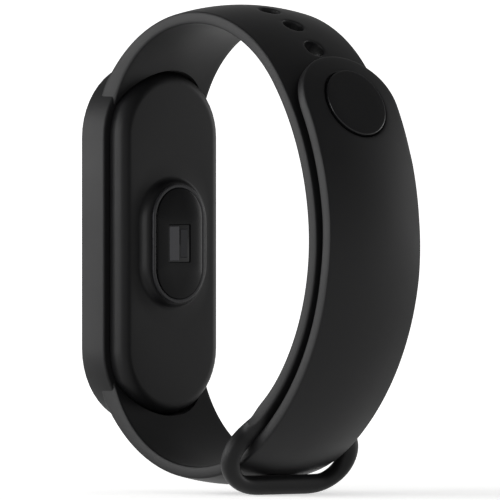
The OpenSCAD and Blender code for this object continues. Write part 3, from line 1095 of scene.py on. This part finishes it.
def rect_ring(width, length, y, corner, count):
    """A rounded rectangle with the same number of points as a stadium ring."""
    ring = []
    per = count // 4
    for quarter in range(4):
        sx, sz = ((1, 1), (-1, 1), (-1, -1), (1, -1))[quarter]
        for k in range(per):
            t = math.radians(90 * quarter + 90 * k / (per - 1))
            ring.append((sx * (width / 2 - corner) + corner * math.cos(t), y,
                         sz * (length / 2 - corner) + corner * math.sin(t)))
    return ring


def window_surround():
    weave = Weave()
    steps = [(WINDOW_R, WINDOW_FLOOR), (WINDOW_R, WINDOW_Y - 0.14),
             (WINDOW_R - 0.04, WINDOW_Y - 0.04), (WINDOW_R - 0.14, WINDOW_Y)]
    rows = []
    for radius, y in steps:
        ring = stadium_ring(radius, y, WINDOW_HALF)
        rows.append([weave.add(p) for p in ring[:ARC_STEPS // 2 + 1] + [ring[ARC_STEPS // 2]]
                     + ring[ARC_STEPS // 2 + 1:ARC_STEPS + 1]
                     + ring[ARC_STEPS + 1:ARC_STEPS + 2 + ARC_STEPS // 2]
                     + [ring[ARC_STEPS + 1 + ARC_STEPS // 2]]
                     + ring[ARC_STEPS + 2 + ARC_STEPS // 2:]])
    count = len(rows[0])
    for y in (WINDOW_Y, WINDOW_Y - 0.1, WINDOW_FLOOR):
        grow = 0.06 if y == WINDOW_Y else 0
        rows.append([weave.add(p) for p in
                     rect_ring(OPTIC[0] + grow, OPTIC[1] + grow, y, 0.2, count)])
    weave.loft(rows, closed=True)
    weave.strip(rows[-1], rows[0], closed=True)
    return weave


weave = window_surround()
surround_skin = piece_from("window_surround_skin", weave.points, weave.faces, GLOSS, 35)
report(surround_skin)
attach(surround_skin, "capsule")
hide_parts("window_surround")


# %% [markdown]
# ## The stud
#
# The stud is a turned shape: a flat polished disc with a rounded rim, and below it a neck and a
# round head that snaps through a hole of the other strap. Both are lathed round the same axis,
# which stands square on the tongue.

# %% Build the stud
def lathe(name, profile, material, base, angle, steps=64):
    """Turns a profile of (radius, height) round the axis that leaves the strap at base."""
    weave = Weave()
    rows = []
    out, along = direction(angle), direction(angle - 90)
    for radius, height in profile:
        row = []
        for t in np.linspace(0, 2 * math.pi, steps, endpoint=False):
            flat = base + height * out + radius * math.sin(t) * along
            row.append(weave.add((radius * math.cos(t), *flat)))
        rows.append(row)
    weave.loft(rows, closed=True)
    weave.faces += [tuple(rows[0]), tuple(reversed(rows[-1]))]
    return piece_from(name, weave.points, weave.faces, material, 35)


stud_base, stud_angle = stud_path.at(0)
CAP_FLOOR, CAP_TOP, CAP_R = 1.9, 2.55, 4.9
profile = [(0.5, CAP_FLOOR), (CAP_R - 0.1, CAP_FLOOR), (CAP_R, CAP_FLOOR + 0.1)]
profile += [(CAP_R - 0.22 + 0.22 * math.cos(t), CAP_TOP - 0.22 + 0.22 * math.sin(t))
            for t in (math.radians(15 * k) for k in range(7))]
profile += [(3.0, CAP_TOP + 0.005), (1.5, CAP_TOP + 0.01), (0.5, CAP_TOP + 0.01)]
cap_skin = lathe("stud_cap_skin", profile, STUD, stud_base, stud_angle, 96)
report(cap_skin)
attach(cap_skin, "tongue")
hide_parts("stud_cap")

PEG_END = -LAYER + 0.2
profile = [(0.4, CAP_FLOOR + 0.2), (1.4, CAP_FLOOR + 0.2), (1.4, PEG_END + 1.5),
           (1.5, PEG_END + 1.3), (1.75, PEG_END + 1.1), (1.8, PEG_END + 0.9),
           (1.78, PEG_END + 0.55), (1.66, PEG_END + 0.25), (1.4, PEG_END + 0.06),
           (1.0, PEG_END), (0.4, PEG_END)]
peg_skin = lathe("stud_peg_skin", profile, STUD, stud_base, stud_angle, 48)
report(peg_skin)
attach(peg_skin, "tongue")
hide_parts("stud_peg")


# %% [markdown]
# ## The front
#
# A satin frame holds the crowned front glass. The glass is black because the display under it
# is off: a printed border hides everything but the display, which is a shade less black.

# %% Build the mid frame and the front glass
FRAME_Y, JOINT_Y, FLANGE_R = -25.3, -23.7, 9.55
GLASS_R, GLASS_Y, GLASS_INNER, CROWN_R = 9.2, -28.2, -25.4, 19.2

frame_skin = grow_ring("mid_frame_skin", FRAME_PLASTIC, 8.05, FLANGE_R, STRAIGHT, FRAME_Y, JOINT_Y, 0.2)
report(frame_skin)
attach(frame_skin, "capsule")
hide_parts("mid_frame")


def crown_y(radius):
    return GLASS_Y + CROWN_R - math.sqrt(CROWN_R ** 2 - radius ** 2)


def cover_glass():
    material, tree, shader = new_material(
        "black printed cover glass", "#030304", 0.04, 1.52, Coat_Weight=0.3, Coat_Roughness=0.03)
    place = add_node(tree, "ShaderNodeTexCoord")
    axes = add_node(tree, "ShaderNodeSeparateXYZ", [(place.outputs["Object"], 0)])
    inside = None
    for axis, reach in (("X", 6.3 * MM), ("Z", 14.5 * MM)):
        size = add_node(tree, "ShaderNodeMath", [(axes.outputs[axis], 0)], operation="ABSOLUTE")
        near = add_node(tree, "ShaderNodeMath", [(size.outputs[0], 0)], operation="LESS_THAN")
        near.inputs[1].default_value = reach
        if inside:
            both = add_node(tree, "ShaderNodeMath",
                            [(inside.outputs[0], 0), (near.outputs[0], 1)], operation="MULTIPLY")
            inside = both
        else:
            inside = near
    mix = add_node(tree, "ShaderNodeMix", [(inside.outputs[0], "Factor")], data_type="RGBA")
    mix.inputs["A"].default_value = linear("#030304")
    mix.inputs["B"].default_value = linear("#0B0C12")
    tree.links.new(mix.outputs["Result"], shader.inputs["Base Color"])
    return material


profile = [(0.05, GLASS_INNER, STRAIGHT), (GLASS_R - 0.1, GLASS_INNER, STRAIGHT),
           (GLASS_R, GLASS_INNER - 0.08, STRAIGHT)]
profile += [(r, crown_y(r), STRAIGHT) for r in
            (9.18, 9.1, 8.9, 8.4, 7.5, 6.3, 5.0, 3.75, 2.5, 1.25, 0.05)]
glass_skin = stadium_loft("front_glass_skin", profile, cover_glass())
report(glass_skin)
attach(glass_skin, "capsule")
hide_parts("front_glass")


# %% [markdown]
# ## The optical window
#
# The sensor looks out through a small window let into the black one. Light leaves through a
# frosted half and comes back through a dark filter. Each is a thin plate of its own with a
# bevelled edge, set in a smoked frame: real edges show the step better than a printed line.
# The frame is opaque. A clear block this small would let the bright table through and wash out.

# %% Build the optical window
def rect_loft(name, rings, material):
    weave = Weave()
    rows = [[weave.add(p) for p in rect_ring(w, h, y, corner, 40)]
            for w, h, y, corner in rings]
    weave.loft(rows, closed=True)
    weave.faces += [tuple(rows[0]), tuple(reversed(rows[-1]))]
    return piece_from(name, weave.points, weave.faces, material, 35)


OPTIC_FRONT = -16.18
SMOKED = satin_plastic("smoked polycarbonate", "#0A0A0C", 0.1, 0.8)
FROSTED = satin_plastic("frosted polycarbonate", "#39393C", 0.3, 0.12)
FILTER = satin_plastic("infrared filter glass", "#0B0C12", 0.12, 0.3)
optic_skin = rect_loft("optical_window_skin", [
    (OPTIC[0], OPTIC[1], WINDOW_FLOOR, 0.2), (OPTIC[0], OPTIC[1], OPTIC_FRONT - 0.08, 0.2),
    (OPTIC[0] - 0.1, OPTIC[1] - 0.1, OPTIC_FRONT - 0.02, 0.16),
    (OPTIC[0] - 0.26, OPTIC[1] - 0.26, OPTIC_FRONT, 0.1)], SMOKED)
report(optic_skin)
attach(optic_skin, "capsule")
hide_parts("optical_window")


def plate(name, material, x, width, length, front):
    """A thin bevelled plate set into the optical window, centred at x."""
    piece = rect_loft(name, [
        (width, length, OPTIC_FRONT - 0.05, 0.12), (width, length, front - 0.05, 0.12),
        (width - 0.1, length - 0.1, front, 0.1)], material)
    piece.data.transform(Matrix.Translation((x * MM, 0, 0)))
    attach(piece, "capsule")
    report(piece)


plate("lamp_plate", FROSTED, 0.9, 1.75, 4.7, OPTIC_FRONT + 0.09)
plate("filter_plate", FILTER, -0.9, 1.25, 3.9, OPTIC_FRONT + 0.07)


# %% [markdown]
# ## Charging pins
#
# Two gilded pins at the lower end of the capsule meet the charger. Each is turned from rod with
# a domed face and sits in a rubber bush. They repeat, so a second node tree turns one profile
# and sets it out on a line.

# %% A node tree for turned parts in a row
def turned_row_tree():
    tree, given = new_node_tree("turned parts in a row", (
        "Spacing", "Radius", "Bore", "Length", "Edge radius", "Height", "End"))
    line = add_node(tree, "GeometryNodeMeshLine", mode="END_POINTS", Count=2)
    places = []
    for sign in (-0.5, 0.5):
        aside = add_node(tree, "ShaderNodeMath", [(given["Spacing"], 0)], operation="MULTIPLY")
        aside.inputs[1].default_value = sign
        places.append(add_node(tree, "ShaderNodeCombineXYZ", [
            (aside.outputs[0], "X"), (given["Height"], "Y"), (given["End"], "Z")]).outputs[0])
    tree.links.new(places[0], line.inputs["Start Location"])
    tree.links.new(places[1], line.inputs["Offset"])
    wall = add_node(tree, "ShaderNodeMath", [(given["Radius"], 0), (given["Bore"], 1)],
                    operation="SUBTRACT")
    middle = add_node(tree, "ShaderNodeMath", [(given["Radius"], 0), (given["Bore"], 1)],
                      operation="ADD")
    ring_r = add_node(tree, "ShaderNodeMath", [(middle.outputs[0], 0)], operation="MULTIPLY")
    ring_r.inputs[1].default_value = 0.5
    path = add_node(tree, "GeometryNodeCurvePrimitiveCircle", [(ring_r.outputs[0], "Radius")],
                    Resolution=40)
    section = rounded_rectangle(tree, wall.outputs[0], given["Length"], given["Edge radius"], 4)
    flat = add_node(tree, "GeometryNodeSetCurveNormal", [(path.outputs[0], "Curve")],
                    mode="Z_UP")
    turned = add_node(tree, "GeometryNodeCurveToMesh",
                      [(flat.outputs[0], "Curve"), (section, "Profile Curve")])
    row = add_node(tree, "GeometryNodeInstanceOnPoints",
                   [(line.outputs[0], "Points"), (turned.outputs[0], "Instance")])
    return end_tree(tree, row.outputs[0], given["Material"])


def gold_plate():
    material, tree, shader = new_material(
        "gold plated contact", "#E0B25A", 0.22, 0.47, Metallic=1.0)
    rub = object_noise(tree, 0.25, detail=3, stretch=(1, 1, 0.2))
    vary(tree, rub.outputs["Fac"], 0.16, 0.34, shader.inputs["Roughness"])
    return material


GOLD = gold_plate()
TURNED_TREE = turned_row_tree()
pins_skin = grow("charge_contacts_skin", TURNED_TREE, GOLD, {
    "Spacing": 2 * PIN_X, "Radius": 0.75, "Bore": 0.01, "Length": 2.0, "Edge radius": 0.16,
    "Height": PIN_Y, "End": -21.65})
report(pins_skin)
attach(pins_skin, "capsule")
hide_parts("charge_contacts")

bushes_skin = grow("contact_seals_skin", TURNED_TREE, SEAL, {
    "Spacing": 2 * PIN_X, "Radius": 1.15, "Bore": 0.75, "Length": 0.6, "Edge radius": 0.1,
    "Height": PIN_Y, "End": -21.2})
report(bushes_skin)
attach(bushes_skin, "capsule")
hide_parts("contact_seals")


# %% [markdown]
# ## Finishes of the parts inside
#
# The capsule is sealed, so its boards, cell and motor are only seen when it is opened. Their
# shapes come from the frame, and each gets the finish of the real material: solder resist over
# copper, moulded epoxy, laminated foil, drawn steel.

# %% Paint the parts inside
def solder_resist(name, colour, under):
    """Solder resist over a grid of copper tracks that lift it slightly."""
    material, tree, shader = new_material(name, colour, 0.32, 1.55)
    place = add_node(tree, "ShaderNodeTexCoord")
    stood = add_node(tree, "ShaderNodeMapping", [(place.outputs["Object"], "Vector")],
                     Rotation=(math.pi / 2, 0, 0))
    tracks = add_node(tree, "ShaderNodeTexBrick", [(stood.outputs["Vector"], "Vector")],
                      Scale=1 / (2.4 * MM), Mortar_Size=0.06, Brick_Width=0.9, Row_Height=0.22)
    tracks.inputs["Color1"].default_value = linear(colour)
    tracks.inputs["Color2"].default_value = linear(colour)
    tracks.inputs["Mortar"].default_value = linear(under)
    tree.links.new(tracks.outputs["Color"], shader.inputs["Base Color"])
    bump_from(tree, shader, tracks.outputs["Fac"], 0.02, 0.6)
    return material


def metal(name, colour, roughness, grain_mm, stretch=(1, 1, 1)):
    material, tree, shader = new_material(name, colour, roughness, 2.5, Metallic=1.0)
    lines = object_noise(tree, grain_mm, detail=4, stretch=stretch)
    vary(tree, lines.outputs["Fac"], roughness - 0.08, roughness + 0.12,
         shader.inputs["Roughness"])
    bump_from(tree, shader, lines.outputs["Fac"], 0.004, 0.4)
    return material


INSIDE = {
    ("glass_adhesive",): satin_plastic("acrylic foam adhesive", "#55555A", 0.7, 0.15),
    ("touch_layer",): satin_plastic("touch film", "#20202A", 0.15, 1.0),
    ("display_panel",): satin_plastic("display panel", "#0B0C12", 0.12, 1.5),
    ("display_flex",): satin_plastic("polyimide flex", "#A86A2C", 0.3, 0.4),
    ("main_board", "battery_board", "sensor_board"):
        solder_resist("green solder resist", "#164A2E", "#22633F"),
    ("processor_chip", "memory_chip", "accelerometer"):
        satin_plastic("moulded epoxy", "#161618", 0.5, 0.08),
    ("battery_cell",): metal("laminated cell foil", "#8F9298", 0.3, 2.2),
    ("motor_case", "motor_shaft"): metal("drawn steel", "#B4B6BA", 0.22, 0.3, (1, 8, 1)),
    ("motor_rotor",): metal("sintered tungsten", "#8A7F70", 0.4, 0.12),
    ("sensor_leds",): satin_plastic("lamp resin", "#CFD2C4", 0.25, 0.2),
    ("photodiode",): satin_plastic("photodiode glass", "#1A1E2C", 0.08, 0.5),
    ("optical_barrier",): satin_plastic("black foam", "#0D0D0E", 0.85, 0.1),
    ("antenna",): GOLD,
}
for names, material in INSIDE.items():
    for name in names:
        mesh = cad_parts[name].data
        mesh.materials.clear()
        mesh.materials.append(material)
    print(material.name, "on", ", ".join(names))


# %% [markdown]
# ## Size of the pieces
#
# The box of the finished pieces is printed beside the box of the frame.

# %% Measure and finish
SKIN_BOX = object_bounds()
for label, corners in (("frame", CAD_BOX), ("pieces", SKIN_BOX)):
    print(label, [round(c / MM, 2) for corner in corners for c in corner])
